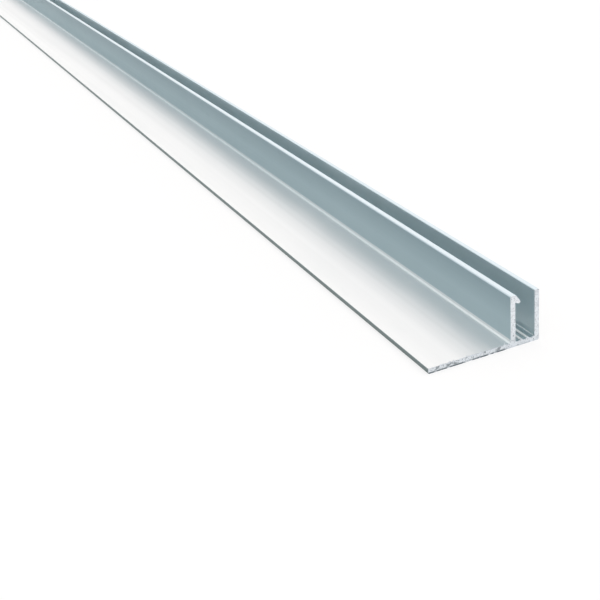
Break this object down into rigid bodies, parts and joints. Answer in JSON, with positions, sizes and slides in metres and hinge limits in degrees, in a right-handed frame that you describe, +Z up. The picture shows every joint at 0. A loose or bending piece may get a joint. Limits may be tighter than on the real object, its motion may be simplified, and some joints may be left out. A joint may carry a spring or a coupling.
{
  "type": "pool liner profile",
  "caption": "Straight aluminium bar for hanging a pool liner: flat fixing flange, hooked inner wall, open-top bead slot with ribbed floor, and outer wall.",
  "frame": {"origin": "bottom centre of the bar: middle of its length, middle of its width, on the underside", "axes": "+Y along the bar, +Z up out of the slot's mouth, +X from the fixing flange towards the outer wall"},
  "size_m": [0.045, 2, 0.02],
  "materials": {
    "aluminium": "mill finish, satin, with fine lines along the bar and sawn ends"
  },
  "bodies": {
    "root": {"liner_profile": "aluminium"}
  },
  "joints": []
}
